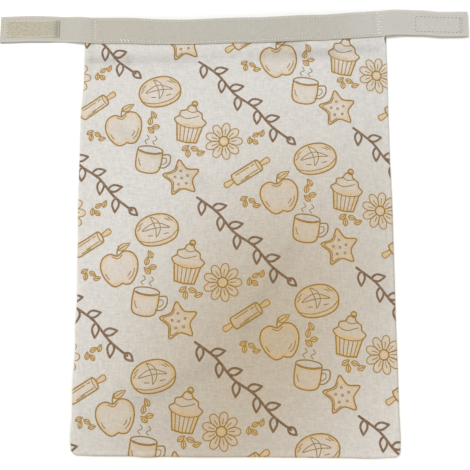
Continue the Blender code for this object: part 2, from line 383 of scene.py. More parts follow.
# Pointed oval: half-width w/2·sin(π·t^0.8) along its length
def leafShape(x, y, length, width, degrees):
    t = np.linspace(0, 1, 8)
    side = width / 2 * np.sin(np.pi * t ** 0.8)
    edge = np.vstack([np.stack([t * length, side], 1), np.stack([t * length, -side], 1)[-2::-1]])
    return placed(edge, degrees, x, y)


# Each motif returns its lines (points, half-width) and its washed shapes (outline, strength)
fine, bold, twigLine = design["fine"], design["bold"], design["twigLine"]


# Lines of one half-width
def strokes(half, *curves):
    return [(np.asarray(curve, float), half) for curve in curves]


# Oval with two slashes and a few crumbs
def bun():
    edge = through([(-18, 1), (-15.5, 9), (-8, 14), (2, 15), (11, 12.6), (17.4, 6), (18, -2), (13, -9),
                    (0, -11.6), (-13, -8.4)], closed=True)
    cuts = [[(-12, 3.4), (-4, 7.4), (3, 7), (11.4, 1.4), (3.4, 3), (-4, 3.4)],
            [(-2.6, 13.4), (2.6, 9), (3.4, 2), (-1.6, -4.4), (-0.6, 2), (-1.6, 9)]]
    dashes = [[(-14, 7.6), (-10.6, 10)], [(-15.8, 4.4), (-12.6, 6.8)], [(9, 9.6), (12.4, 7)],
              [(11.6, 10), (14.8, 6.4)], [(-8, -1.6), (-4.4, -2.4)], [(5, -3), (9, -3)]]
    base = through([(-17.4, -3.4), (-9, -7.2), (0, -8.2), (10, -6.8), (17.6, -2)])
    cuts = [through(cut, closed=True, each=3) for cut in cuts]
    return strokes(bold, edge) + strokes(fine, base, *cuts, *dashes), [(edge, 0.9)]


# Round-ended roller with a grip at either end
def rollingPin():
    body = np.vstack([arc(14, 0, 2.2, 6.2, -90, 90, 7), arc(-14, 0, 2.2, 6.2, 90, 270, 7), (14, -6.2)])
    grip = through([(16.2, 1.6), (18.5, 2.2), (24, 2.9), (26.2, 1.6), (26.2, -1.6), (24, -2.9), (18.5, -2.2),
                    (16.2, -1.6)], each=3)
    other = grip * (-1, 1)
    dashes = [(-11, 3.4), (4, 3.6)], [(-4, -3.4), (11, -3.2)], [(-10, -4.4), (0, -4.6)], [(7, 3.4), (10, 3.3)]
    return (strokes(bold, body) + strokes(fine, arc(14, 0, 1.8, 6.0, 95, 265, 8), grip, other, *dashes),
            [(body, 0.75), (grip, 1.0), (other, 1.0)])


# Round heart with nine petals
def daisy():
    heart = arc(0, 0, 4.2, 4.2, count=14)
    petal = through([(4.3, -1.4), (9, -3.4), (14, -2.6), (15.6, 0), (14, 2.6), (9, 3.4), (4.3, 1.4)], each=3)
    petals = [placed(petal, a) for a in range(0, 360, 40)]
    veins = [placed([(6, 0), (10.5, 0.3)], a) for a in range(0, 360, 40)]
    return strokes(bold, heart) + strokes(fine, *petals, *veins), [(heart, 1.0), *((p, 0.5) for p in petals)]


# Five-pointed star with holes
def starBiscuit():
    corner = np.arange(10)
    reach, a = np.where(corner % 2 == 0, 16.5, 9.6), np.radians(90 + 36 * corner)
    edge = through(np.stack([reach * np.cos(a), reach * np.sin(a)], 1), closed=True)
    holes = ((0, 6.5), (-5.5, 1.6), (5.5, 1.6), (-3.4, -5.2), (3.4, -5.2), (0, 0))
    holes = [arc(x, y, 0.9, 0.9, count=7) for x, y in holes]
    return strokes(bold, edge) + strokes(fine, edge[2:20] * 0.83, *holes), [(edge, 0.85)]


# Pleated case, cream in three tiers and a cherry
def cupcake():
    case = np.array([(-11, -1), (-8.2, -15.4), (0, -16.4), (8.2, -15.4), (11, -1)], float)
    cream = through([(-11, -1), (-13.6, 2.6), (-10, 6), (-9.6, 9.8), (-5, 11.6), (-3, 15.4), (1.4, 16.6),
                     (4, 12.4), (8.4, 10), (9.6, 6), (13.4, 3), (11, -1)])
    cherry = arc(1, 17.6, 2.3, 2.3, count=11)
    tiers = [through(tier) for tier in ([(-11, -1), (-5, -3), (0, -3.4), (5, -3), (11, -1)],
                                        [(-10, 6), (-3, 4), (6, 7.6)], [(-5, 11.6), (0, 10), (5.4, 12)])]
    pleats = [[(x, -3.2 + abs(x) * 0.12), (x * 0.74, -16)] for x in (-7.6, -3.8, 0, 3.8, 7.6)]
    return (strokes(bold, case, cream, cherry) + strokes(fine, *tiers, *pleats),
            [(case, 1.0), (cream, 0.5), (cherry, 1.0)])


# Two mirrored halves, a stalk and a leaf
def apple():
    half = [(5.5, 12.2), (12, 10), (15, 3), (13, -6), (7.5, -13.2), (2.6, -13.6)]
    edge = through([(0, 9.5), *half, (0, -12.4), *((-x, y) for x, y in half[::-1])], closed=True, each=3)
    leaf = leafShape(1.2, 14, 11, 5, 18)
    shade = [arc(0, -1, 11.6, 10.6, a, b, 7) for a, b in ((300, 350), (188, 215))]
    return (strokes(bold, edge, through([(0, 9.5), (0.4, 13), (2.4, 17)]))
            + strokes(fine, leaf, through([(-4, 9.6), (0, 7.4), (4, 9.6)]), [(2, 14.2), (9, 16.6)], *shade,
                      arc(0, -1, 9, 8, 305, 335, 5)), [(edge, 0.85), (leaf, 0.9)])


# Cup with an oval rim, a handle and two curls of steam
def mug():
    cup = through([(-11, 8), (-11, -4), (-8.6, -11), (0, -13), (8.6, -11), (11, -4), (11, 8)])
    handle = through([(11, 5), (17.4, 5.6), (18.4, -1), (14.6, -6), (9.9, -6.6)])
    inside = through([(11, 2), (14.6, 2.4), (15.2, -1), (12.6, -3.6), (10.6, -4)])
    steam = [through([(x, 13), (x - 2, 15.4), (x + 1.2, 18), (x - 0.8, 20.6)]) for x in (-4, 3)]
    lines = strokes(bold, cup, arc(0, 8, 11, 3.4)) + strokes(fine, arc(0, 7.4, 8.8, 2.0, 190, 350, 9))
    lines += strokes(bold, handle) + strokes(fine, inside, arc(0, 1, 9, 11, 192, 226, 6), *steam)
    return lines, [(np.vstack([cup, arc(0, 8, 11, 3.4, 0, -180, 9)]), 0.7)]


# Four pointed ovals, each with a vein
def seeds():
    each = ((-5, 3, 25), (3, 4, -30), (-1, -4, 80), (7, -3, 10))
    shapes = [leafShape(x, y, 7.4, 4.2, a) for x, y, a in each]
    veins = [placed([(1.4, 0), (5.6, 0)], a, x, y) for x, y, a in each]
    return strokes(fine, *shapes, *veins), [(shape, 1.0) for shape in shapes]


# Wavy stem with leaves to either side by turns
def twig():
    stem = through([(-60, 0), (-36, 2.2), (-12, -1.4), (12, 1.6), (36, -1.6), (58, 0)])
    leaves = [leafShape(x, np.interp(x, *stem.T), 13.5, 6.6, 52 * (-1) ** (k + 1))
              for k, x in enumerate(np.arange(-54, 46, 11.6))]
    return strokes(twigLine, stem) + strokes(twigLine * 0.9, leafShape(55, 0, 10, 6, 0), *leaves), []


# Motifs stand at a·e1 + b·e2, with e1 along the bands, each next band shifted along by bandShift.
# Lines get a third number, 1 for the dark ink. side −1 turns the design for the underside.
def layOut(shift, side):
    drawn = {"twig": twig, "bun": bun, "cupcake": cupcake, "daisy": daisy, "rollingPin": rollingPin,
             "apple": apple, "mug": mug, "starBiscuit": starBiscuit, "seeds": seeds}
    along = placed([(1, 0)], design["turn"])[0]
    across = np.array([-along[1], along[0]])
    lines, washes = [], []
    for band in range(-8, 9):
        for again in range(-4, 5):
            for name, a, b, turn, size in design["motifs"]:
                at = ((a + band * design["bandShift"] + again * design["repeat"]) * along
                      + (b + band * design["bandStep"]) * across + shift)
                if abs(at[0]) < 220 and abs(at[1]) < 280:
                    shape, fills = drawn[name]()
                    lines += [(placed(p, turn, *at, size) * (side, 1), half, float(name == "twig"))
                              for p, half in shape]
                    washes += [(placed(p, turn, *at, size) * (side, 1), strength) for p, strength in fills]
    return lines, washes


# Distance of points from each piece of a line: |p − a − h·(b − a)|, h = clamp((p − a)·(b − a) / |b − a|²)
def fromPieces(points, line):
    a, run = line[:-1], np.diff(line, axis=0)
    off = points[:, None] - a
    h = np.clip((off * run).sum(2) / np.maximum((run ** 2).sum(1), 1e-9), 0, 1)
    return np.linalg.norm(off - h[..., None] * run, axis=2)


# Which points lie within reach of the box round a line
def nearBox(points, line, reach):
    return np.flatnonzero(((points > line.min(0) - reach) & (points < line.max(0) + reach)).all(1))


linesPerFace = 5


# Pieces of line for some faces: start x y, end x y, half-width and ink, all far away to begin with
def farPieces(faces):
    held = np.full((faces, linesPerFace, 6), 9e3)
    held[..., 2:4] += 1
    held[..., 4:] = 0
    return held


# The pieces of line nearest to each face, by |p − line| − half-width, and far ones where none is within reach
def nearestPieces(lines, centres, reach=2.3):
    distance = np.full((len(centres), linesPerFace), float(reach))
    held = farPieces(len(centres))
    for line, width, ink in lines:
        near = nearBox(centres, line, reach)
        if len(near):
            rows = np.column_stack([line[:-1], line[1:], np.tile((width, ink), (len(line) - 1, 1))])
            both = np.concatenate([distance[near], fromPieces(centres[near], line) - width], 1)
            order = np.argsort(both, 1)[:, :linesPerFace]
            distance[near] = np.take_along_axis(both, order, 1)
            rows = np.concatenate([held[near], np.broadcast_to(rows, (len(near), *rows.shape))], 1)
            held[near] = np.take_along_axis(rows, order[..., None], 1)
    return held


# How deep each point lies inside a washed shape, negative outside, and that shape's strength.
# Inside where a ray towards −X crosses the outline an odd number of times.
def washDepth(washes, points, margin=4.0):
    depth, strength = np.full(len(points), -margin), np.zeros(len(points))
    for outline, power in washes:
        near = nearBox(points, outline, margin)
        if len(near):
            ring = np.vstack([outline, outline[:1]])
            (x, y), (ax, ay), (bx, by) = points[near].T[:, :, None], ring[:-1].T[:, None], ring[1:].T[:, None]
            slant = (bx - ax) / np.where(by == ay, 1, by - ay)
            crossed = ((ay > y) != (by > y)) & (x > ax + (y - ay) * slant)
            deep = fromPieces(points[near], ring).min(1) * np.where(crossed.sum(1) % 2, 1, -1)
            take = deep > depth[near]
            depth[near[take]], strength[near[take]] = deep[take], power
    return depth, strength


# Puts the design on the first or second half of a sheet's faces, as attributes that the cotton reads
def printOn(piece, shift, side, faceSlice):
    lines, washes = layOut(np.array(shift), side)
    mesh = piece.data
    centres = np.empty(len(mesh.polygons) * 3)
    mesh.polygons.foreach_get("center", centres)
    centres = centres.reshape(-1, 3)[:, :2] / mm
    held = farPieces(len(centres))
    held[faceSlice] = nearestPieces(lines, centres[faceSlice])
    for k in range(linesPerFace):
        for name, first in (("lineStart", 0), ("lineEnd", 2), ("lineLook", 4)):
            values = np.column_stack([held[:, k, first:first + 2], np.zeros(len(centres))])
            data = mesh.attributes.new(f"{name}{k}", "FLOAT_VECTOR", "FACE").data
            data.foreach_set("vector", values.ravel())
    points = np.empty(len(mesh.vertices) * 3)
    mesh.vertices.foreach_get("co", points)
    depth, strength = washDepth(washes, points.reshape(-1, 3)[:, :2] / mm)
    onPrint = np.zeros(len(centres))
    onPrint[faceSlice] = 1
    for name, values, domain in (("washDepth", depth, "POINT"), ("washStrength", strength, "POINT"),
                                 ("printed", onPrint, "FACE")):
        mesh.attributes.new(name, "FLOAT", domain).data.foreach_set("value", values)


# Cotton and linen plain weave, screen printed: matte, a little slubby, ochre washes inside darker lines.
# Real threads lie 0.5 mm apart. They are drawn 1.3 mm apart and slubs 1.7 mm wide, or neither would show.
cottonLook = {
    "light": "#D6D3D0", "dark": "#C4C1BD", "weave": (1.3, 2.2, 1.7, 6.0),
    # painted shadow over the lower middle, warm and darker: its tint, middle, reach and turn
    "shadowTint": "#DFD3C0", "shadowAt": (22.0, -104.0), "shadowReach": (180.0, 295.0), "shadowTurn": -29.0,
    "gold": "#CF9F3C", "ochre": "#86650F", "brown": "#6B4A22",
    "washBase": 0.12, "washRim": 0.85, "rimDepth": 2.4, "halo": 0.12, "inkStrength": 0.98, "feather": 0.16,
}


# Layers of colour, each laid over the last by its share: woven ground, a painted warm shadow over the lower
# middle, gold washes, ink, then the painted shade and light of the folds.
# wash = strength·(base + rim·e^(−depth/rimDepth)·patchiness)
def printedCotton():
    look = cottonLook
    gold, ochre, brown, shadowTint, dark, light = (linear(look[name]) for name in
                                             ("gold", "ochre", "brown", "shadowTint", "dark", "light"))
    material, tree, shader = newMaterial("cottonPlainWeavePrinted", look["light"], roughness=0.92, sheen=0.12)
    weave, slubs = plainWeave(tree, *look["weave"])
    ground = addNode(tree, "Mix", {0: slubs, 6: dark, 7: light}, 2, data_type="RGBA")
    flat = millimetres(tree, (1000, 1000, 0))
    # Painted shadow over the lower middle, warmer and darker there: share = 1 − |turned(p − middle) / reach|,
    # smoothed
    off = addNode(tree, "Mapping", {"Vector": flat, "Location": (*look["shadowAt"], 0),
                                    "Rotation": (0, 0, np.radians(look["shadowTurn"])),
                                    "Scale": (*look["shadowReach"], 1)}, vector_type="TEXTURE")
    off = addNode(tree, "VectorMath", [off], out="Value", operation="LENGTH")
    shadowShare = addNode(tree, "MapRange", [off, 1.0, 0.0], interpolation_type="SMOOTHSTEP")
    shadowed = addNode(tree, "Mix", {0: 1.0, 6: ground, 7: shadowTint}, 2, data_type="RGBA", blend_type="MULTIPLY")
    ground = addNode(tree, "Mix", {0: shadowShare, 6: ground, 7: shadowed}, 2, data_type="RGBA")
    ink = inkDark = 0.0
    for k in range(linesPerFace):  # coverage by a piece: 1 inside its half-width, feathered over its edge
        start, end, kind = (addNode(tree, "Attribute", out="Vector", attribute_name=f"{name}{k}")
                            for name in ("lineStart", "lineEnd", "lineLook"))
        off, run = (addNode(tree, "VectorMath", [point, start], operation="SUBTRACT")
                    for point in (flat, end))
        along, square = (addNode(tree, "VectorMath", [step, run], out="Value", operation="DOT_PRODUCT")
                         for step in (off, run))
        share = addNode(tree, "Math", [along, square], operation="DIVIDE", use_clamp=True)
        foot = addNode(tree, "VectorMath", {0: run, "Scale": share}, operation="SCALE")
        away = addNode(tree, "VectorMath", [off, foot], out="Value", operation="DISTANCE")
        halfWidth, isDark, _ = addNode(tree, "SeparateXYZ", [kind]).node.outputs
        past = addNode(tree, "Math", [away, halfWidth], operation="SUBTRACT")
        cover = addNode(tree, "MapRange", [past, look["feather"], -look["feather"]],
                        interpolation_type="SMOOTHSTEP")
        inked = addNode(tree, "Math", [cover, isDark], operation="MULTIPLY")
        ink = addNode(tree, "Math", [cover, ink], operation="MAXIMUM")
        inkDark = addNode(tree, "Math", [inked, inkDark], operation="MAXIMUM")
    patchy = addNode(tree, "TexNoise", {"Vector": flat, "Scale": 0.35, "Detail": 3.0})
    depth, power, printed = (addNode(tree, "Attribute", out="Fac", attribute_name=name)
                             for name in ("washDepth", "washStrength", "printed"))
    inside = addNode(tree, "MapRange", [depth, -0.3, 0.4], interpolation_type="SMOOTHSTEP")
    halo = addNode(tree, "MapRange", {0: depth, 1: -2.4, 2: 0.0, 4: look["halo"]})
    fade = addNode(tree, "Math", [depth, -1 / look["rimDepth"]], operation="MULTIPLY")
    fade = addNode(tree, "Math", [fade], operation="EXPONENT", use_clamp=True)
    blotch = addNode(tree, "MapRange", [patchy, 0.3, 0.7, 0.45, 1.15])
    rim = addNode(tree, "Math", [fade, blotch], operation="MULTIPLY")
    tone = addNode(tree, "Math", [rim, look["washRim"], look["washBase"]], operation="MULTIPLY_ADD")
    for other, way in ((power, "MULTIPLY"), (inside, "MULTIPLY"), (halo, "MAXIMUM"), (printed, "MULTIPLY")):
        tone = addNode(tree, "Math", [tone, other], operation=way)
    washed = addNode(tree, "Mix", {0: tone, 6: ground, 7: gold}, 2, data_type="RGBA")
    inkTone = addNode(tree, "Mix", {0: inkDark, 6: ochre, 7: brown}, 2, data_type="RGBA")
    wearAndShade = addNode(tree, "MapRange", {0: patchy, 1: 0.3, 2: 0.7, 3: 0.8 * look["inkStrength"],
                                      4: look["inkStrength"]})
    for other in (wearAndShade, printed):
        ink = addNode(tree, "Math", [ink, other], operation="MULTIPLY")
    printedOn = addNode(tree, "Mix", {0: ink, 6: washed, 7: inkTone}, 2, data_type="RGBA")
    # painted shade and light of the folds over the printed cloth
    tree.links.new(withPaintedShading(tree, printedOn), shader.inputs["Base Color"])
    addBump(tree, shader, [(weave, 0.10), (slubs, 0.12)])
    return material


# The two panels
panels = {
    "thickness": 0.9, "step": 2.0, "hemFold": 20.0, "hemRise": 0.5,
    "edgeDrop": 0.35, "edgeDropWidth": 1.2,   # the front's sewn edge turns down onto the back
    "rollAt": 2.2, "rollHeight": 0.35, "rollHalf": 1.3,
    "grooveAt": 5.6, "grooveDepth": 0.40, "grooveHalf": 1.6,
    "pucker": 0.13, "puckerLength": 9.3, "puckerReach": 9.0,
    "uneven": ((0.20, 46, 3), (0.06, 15, 8)),
    # soft troughs of the front, from x, y, to x, y, depth, half-width
    "creases": ((-147, 168.5, -106, 166, 2.0, 4.5), (-104, 166, -40, 167, 1.4, 4.5),
                (30, 171, 96, 173, 1.9, 5), (-30, 169, 22, 170, 0.9, 4.5),
                (104, 176, 141, 179, 1.5, 4.0), (-143, 186, -143, 150, 0.8, 2.0),
                (44, 182, 62, 182, 1.2, 5), (-112, 94, -30, 40, 0.8, 7),
                (10, -95, 55, -20, 0.8, 8), (-90, -165, -20, -130, 0.8, 8)),
    # painted shade and light of the folds: darker per mm of trough and at the right and bottom rims,
    # lighter at the left one and just below the tape
    "troughShade": 0.095, "rightRimShade": 0.22, "bottomRimShade": 0.20, "rimHalf": 1.0,
    "leftRimLight": 0.09, "leftHalf": 3.0, "tapeSideLight": 0.07, "tapeSideHalf": 1.2,
}


# Front's upper side: the solid's, less the turned edge and its groove, plus puckers that die away from the
# seams as e^−(d/reach)², plus a slight unevenness that starts below the tape. Creases take
# room·(1 − e^−(depth/room)), so that they never reach the back.
def frontTop(x, y):
    d = fromSeam(x, y)
    along = x + y
    ripple = np.sin(2 * np.pi * along / panels["puckerLength"] + 2.2 * np.sin(2 * np.pi * along / 61))
    calm = smooth((tapeCentre(x) - tape["width"] / 2 - y) / 25)
    detail = -panels["edgeDrop"] * (1 - smooth(d / panels["edgeDropWidth"]))
    detail = detail + panels["rollHeight"] * bell(d - panels["rollAt"], panels["rollHalf"])
    detail = detail - panels["grooveDepth"] * bell(d - panels["grooveAt"], panels["grooveHalf"])
    detail = detail + panels["pucker"] * ripple * bell(d, panels["puckerReach"]) * smooth(d / 2)
    detail = detail + calm * smooth(d / 12) * uneven(x, y, panels["uneven"])
    height = frontUnderside(x, y) + cloth["solid"] + detail
    room = np.maximum(height - 2 * panels["thickness"] - 0.05, 0.02)
    return height - room * (1 - np.exp(-hollows(x, y, panels["creases"]) / room))


# Painted shade of the front, darker in its folds: trough shade·depth + the rims' tones·e^−(distance/half)²,
# with the right rim's fading above the middle, and painted light where a rim's tone is negative
def frontPaintedShading(x, y):
    left, right = sideEdges(y)
    tapeSide = tapeCentre(x) - tape["width"] / 2
    rims = ((panels["rightRimShade"] * (1 - 0.7 * smooth((y - 10) / 50)), right - x, panels["rimHalf"]),
            (panels["bottomRimShade"], y - bottomEdge(x), panels["rimHalf"]),
            (-panels["tapeSideLight"], tapeSide - y, panels["tapeSideHalf"]),
            (-panels["leftRimLight"], x - left, panels["leftHalf"]))
    tone = sum(strength * bell(away, half) for strength, away, half in rims)
    return panels["troughShade"] * hollows(x, y, panels["creases"]) + tone


# Grid over the whole bag, and each point's distance from the nearest edge
def bagGrid():
    across = spread(cloth["width"], panels["step"]) / cloth["width"]
    tall = cloth["length"] - tape["overhang"]
    along = spread(tall, panels["step"]) / tall
    x, y = bagPoint(*np.meshgrid(across, along))
    return x, y, np.minimum(fromSeam(x, y), np.maximum(mouthEdge(x) - y, 0))


# Front: half its thickness to either side of its middle, drawn together at the rim
def makeFront(material):
    x, y, d = bagGrid()
    half = panels["thickness"] / 2
    middle = frontTop(x, y) - half
    bulge = half * roundEdge(d, panels["thickness"])
    piece = closedSheet("bagFront", x, y, middle + bulge, middle - bulge, material, "cotton")
    printOn(piece, (8.0, -12.0), 1, slice(0, len(piece.data.polygons) // 2))
    # painted shade in the folds and at the right and bottom rims, painted light at the left rim and below the
    # tape
    sheetValues(piece, "paintedShading", frontPaintedShading(x, y))
    return piece


# Back: flat below, with the fold of its hem inside the mouth
def makeBack(material):
    x, y, d = bagGrid()
    half = panels["thickness"] / 2
    bulge = half * roundEdge(d, panels["thickness"])
    side = np.minimum(x - sideEdges(y)[0], sideEdges(y)[1] - x)
    fold = panels["hemRise"] * smooth((panels["hemFold"] - (mouthEdge(x) - y)) / 0.8) * smooth((side - 9) / 5)
    top = half + bulge + fold * roundEdge(d, panels["thickness"])
    piece = closedSheet("bagBack", x, y, top, half - bulge, material, "cotton", outer="under")
    printOn(piece, (-31.0, 22.0), -1, slice(len(piece.data.polygons) // 2, None))
    return piece


cotton = printedCotton()
front, back = makeFront(cotton), makeBack(cotton)
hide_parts("front_panel")
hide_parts("back_panel")
print("panels and print done")


# Closure tape
tapeLook = {
    "step": 1.5, "edge": 0.45, "uneven": ((0.06, 30, 21), (0.02, 9, 22)),
    "rows": (-11.0, 10.6), "seamDepth": 0.2, "seamHalf": 0.8,
    "sewnFrom": -139.0, "sewnTo": 142.5,
    "ridgeAt": 178.9, "ridgeHeight": 0.35, "ridgeHalf": 1.1,  # where the tab climbs onto the hook patch
    "tabLift": 0.8,  # of the left tab's lower edge
    # x, how far out the lower edge lies there, and the tone of its rim: painted shadow under the tabs,
    # painted light where it is sewn
    "lowerEdge": ((-235, 1.9), (-202, 1.9), (-164, 0.6), (-133, 1.1), (-90, 0.5), (-60, -0.4), (-23, 0.0),
                  (21, 0.4), (99, 0.5), (126, 0.9), (165, 0.9), (203, 0.45), (233, 0.5)),
    "rimShadeAndLight": ((-235, 0.38), (-190, 0.38), (-178, 0.0), (-150, -0.12), (150, -0.12),
                 (158, 0.38), (233, 0.38)),
    "light": "#B9B4AB", "dark": "#AFAAA0", "tab": "#BFBCB7",
    "weave": (1.1, 0.6, 1.4, 5.0),  # the real ribs, 0.6 mm apart, are too fine to show
    # painted shade in the seams, painted light on the upper and the tabs' lower selvedge, and marks of
    # painted shade and light as place, tone, half-width
    "seamShade": 0.13, "upperEdgeLight": -0.08, "lowerEdgeLight": -0.08,
    "shadeAndLightMarks": ((-232.6, 0.06, 0.9), (-142.6, 0.05, 1.0), (138.2, 0.045, 1.0),
              (176.8, 0.05, 0.8), (178.9, -0.05, 0.8)),
}


# How far the thread pulls the tape in at x, and v across it: a rippled e^−((v − row)/half)² where it is sewn
def pulledIn(x, v):
    sewn = smooth((x - tapeLook["sewnFrom"]) / 4) * smooth((tapeLook["sewnTo"] - x) / 4)
    pull = sum(bell(v - row, tapeLook["seamHalf"]) for row in tapeLook["rows"])
    return sewn * pull * (1 + 0.2 * np.cos(2 * np.pi * x / 7.3))


# Lift of the left tab's lower edge: tabLift·t², t from 0 at the tape's middle to 1 at that edge
def tabLift(x, v):
    return tapeLook["tabLift"] * np.clip(-v / 13, 0, 1) ** 2 * smooth((-168 - x) / 20)


# Tape's upper side: its underside plus the thickness, less the pull of the thread, a little uneven,
# with a ridge e^−((x − ridgeAt)/ridgeHalf)² between the tab's edges
def tapeTop(x, v):
    ridge = bell(x - tapeLook["ridgeAt"], tapeLook["ridgeHalf"]) * smooth((10.5 - abs(v)) / 2.5)
    ridge = ridge - 0.8 * bell(x - tapeLook["ridgeAt"] + 3.2, 1.8)  # and a shallow dip before it
    height = tapeUnderside(x) + tape["thickness"] + tabLift(x, v) + tapeLook["ridgeHeight"] * ridge
    return height - tapeLook["seamDepth"] * pulledIn(x, v) + uneven(x, v, tapeLook["uneven"])


# How free the tape is at x: 0 on the bag, 1 past its sides
def freeTab(x):
    return smooth((abs(x) - 148) / 14)


# Painted shade and light of the tape: darker in its seams, lighter along its selvedges, a painted tone along
# its lower rim, and marks as tone·e^−((x − place)/half)²
def tapePaintedShading(x, v):
    tone = tapeLook["seamShade"] * pulledIn(x, v) * (1 - 0.6 * smooth(v / 5))
    tone = tone + tapeLook["upperEdgeLight"] * smooth((v - 10.4) / 1.2)
    tone = tone + tapeLook["lowerEdgeLight"] * smooth((-v - 10.8) / 1.2) * freeTab(x)
    tone = tone + readTable(tapeLook["rimShadeAndLight"], x) * smooth((-v - 12.35) / 0.4)
    shadeAndLightMarks = sum(strength * bell(x - place, half) for place, strength, half in tapeLook["shadeAndLightMarks"])
    return tone + shadeAndLightMarks * smooth((11.5 - abs(v)) / 1.5)


# Close-woven polyester webbing: matte, with a faint sheen, paler where the tabs lie free
def webbing():
    material, tree, shader = newMaterial("polyesterWebbingTape", tapeLook["light"], roughness=0.82, sheen=0.1)
    weave, slubs = plainWeave(tree, *tapeLook["weave"])
    dark, light, tab = (linear(tapeLook[name]) for name in ("dark", "light", "tab"))
    ground = addNode(tree, "Mix", {0: slubs, 6: dark, 7: light}, 2, data_type="RGBA")
    paler = addNode(tree, "Mix", {0: slubs, 6: light, 7: tab}, 2, data_type="RGBA")
    pale = addNode(tree, "Attribute", attribute_name="paleness", out="Fac")
    ground = addNode(tree, "Mix", {0: pale, 6: ground, 7: paler}, 2, data_type="RGBA")
    # painted shade and light of the seams, selvedges and rims over the webbing
    tree.links.new(withPaintedShading(tree, ground), shader.inputs["Base Color"])
    addBump(tree, shader, [(weave, 0.08), (slubs, 0.05)])
    return material


# Tape: from its underside to its upper side, drawn together at the rim, its lower edge spread out
def makeTape(material):
    s = spread(tape["length"], tapeLook["step"]) - tape["length"] / 2
    v = spread(tape["width"], 0.7, rim=(0, 0.1, 0.3, 0.6, 1.2)) - tape["width"] / 2
    s, v = np.meshgrid(s, v)
    d = np.minimum(tape["length"] / 2 - abs(s), tape["width"] / 2 - abs(v))
    bulge = roundEdge(np.maximum(d, 0), tapeLook["edge"])
    x = s + tape["shift"]
    under, top = tapeUnderside(x) + tabLift(x, v), tapeTop(x, v)
    middle = under + tape["thickness"] / 2
    spreadOut = readTable(tapeLook["lowerEdge"], x) * smooth((-v - 9) / 4)
    piece = closedSheet("closureTape", x, tapeCentre(x) + v - spreadOut, middle + (top - middle) * bulge,
                        middle - (middle - under) * bulge, material, "tape")
    # painted shade in the seams and under the tabs' lower rims, painted light along the selvedges
    sheetValues(piece, "paintedShading", tapePaintedShading(x, v))
    sheetValues(piece, "paleness", 0.5 * smooth((-142 - x) / 14) + smooth((x - 85) / 50), below=1.0)
    return piece


closureTape = makeTape(webbing())
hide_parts("closure_tape")
print("tape done")


# Hook-and-loop patches, in mm: each lies below the tape's middle line, its underside at the height liesAt
loopPatch = {"length": 54.0, "width": 18.0, "centre": -203.4, "below": 1.2, "liesAt": 1.5, "base": 0.75,
             "pitch": 0.8, "height": 0.55, "halfSpan": 0.55, "radius": 0.10,
             "light": "#CFCABA", "dark": "#BDB8A7",
             # painted shadow at the inner end: its colour, and where it starts and where it is full
             "wearAndShade": "#AFAA99", "shadeFrom": -184.0, "shadeTo": -178.0}
hookPatch = {"length": 50.0, "width": 18.3, "centre": 203.3, "below": 0.8, "liesAt": 0.7, "base": 0.5,
             "pitch": 1.6, "height": 0.60, "radius": 0.09,
             "light": "#D5D0C4", "dark": "#C6C0B2", "weave": (0.8, 0.3, 1.2, 4.0)}


# Angle of the tape's run at a patch, and points of the patch's own plane carried to it
def onTape(patch, u, v):
    ends = tapeCentre(patch["centre"] + np.array([-0.5, 0.5]) * patch["length"])
    angle = np.arctan2(ends[1] - ends[0], patch["length"])
    c, s = np.cos(angle), np.sin(angle)
    middle = tapeCentre(np.array(patch["centre"])) - patch["below"]
    return patch["centre"] + u * c - v * s, middle + u * s + v * c, angle


# Sheet of a patch, with round edges, pressed in as e^−((d − 1.5)/0.5)² where it is sewn
def patchSheet(name, patch, material, slot):
    half = patch["base"] / 2
    u, v = np.meshgrid(spread(patch["length"], 1.0, rim=(0, 0.1, 0.3, 0.6)) - patch["length"] / 2,
                       spread(patch["width"], 1.0, rim=(0, 0.1, 0.3, 0.6)) - patch["width"] / 2)
    d = np.minimum(patch["length"] / 2 - abs(u), patch["width"] / 2 - abs(v))
    bulge = roundEdge(np.maximum(d, 0), 0.5) * half
    x, y, _ = onTape(patch, u, v)
    pressed = 0.22 * bell(d - 1.5, 0.5)
    middle = patch["liesAt"] + half + 0 * u
    return closedSheet(name, x, y, middle + bulge - pressed, middle - bulge, material, slot)


# Brushed polyamide loop pile: matte, patchy, each tuft catching light on its own
def loopPile():
    material, tree, shader = newMaterial("polyamideLoopPile", loopPatch["light"], roughness=0.97, sheen=0.25)
    place = millimetres(tree)
    tufts = addNode(tree, "TexVoronoi", {"Vector": place, "Scale": 0.9}, out="Distance")
    patchy = addNode(tree, "TexNoise", {"Vector": place, "Scale": 0.45, "Detail": 4.0})
    share = addNode(tree, "MapRange", [patchy, 0.35, 0.65])
    dark, light = linear(loopPatch["dark"]), linear(loopPatch["light"])
    colour = addNode(tree, "Mix", {0: share, 6: dark, 7: light}, 2, data_type="RGBA")
    along = addNode(tree, "SeparateXYZ", [place])
    wearAndShade = addNode(tree, "MapRange", [along, loopPatch["shadeFrom"], loopPatch["shadeTo"]])
    # Painted shadow: the pile is darker towards its inner end, the side that lies in shade
    colour = addNode(tree, "Mix", {0: wearAndShade, 6: colour, 7: linear(loopPatch["wearAndShade"])}, 2, data_type="RGBA")
    tree.links.new(colour, shader.inputs["Base Color"])
    addBump(tree, shader, [(tufts, 0.25), (patchy, 0.3)])
    return material


# Hook tape: woven polyamide, a little shinier than the webbing
def hookTape():
    material, tree, shader = newMaterial("polyamideHookTape", hookPatch["light"], roughness=0.6, sheen=0.0)
    weave, slubs = plainWeave(tree, *hookPatch["weave"])
    dark, light = linear(hookPatch["dark"]), linear(hookPatch["light"])
    colour = addNode(tree, "Mix", {0: slubs, 6: dark, 7: light}, 2, data_type="RGBA")
    tree.links.new(colour, shader.inputs["Base Color"])
    addBump(tree, shader, [(weave, 0.1)])
    return material


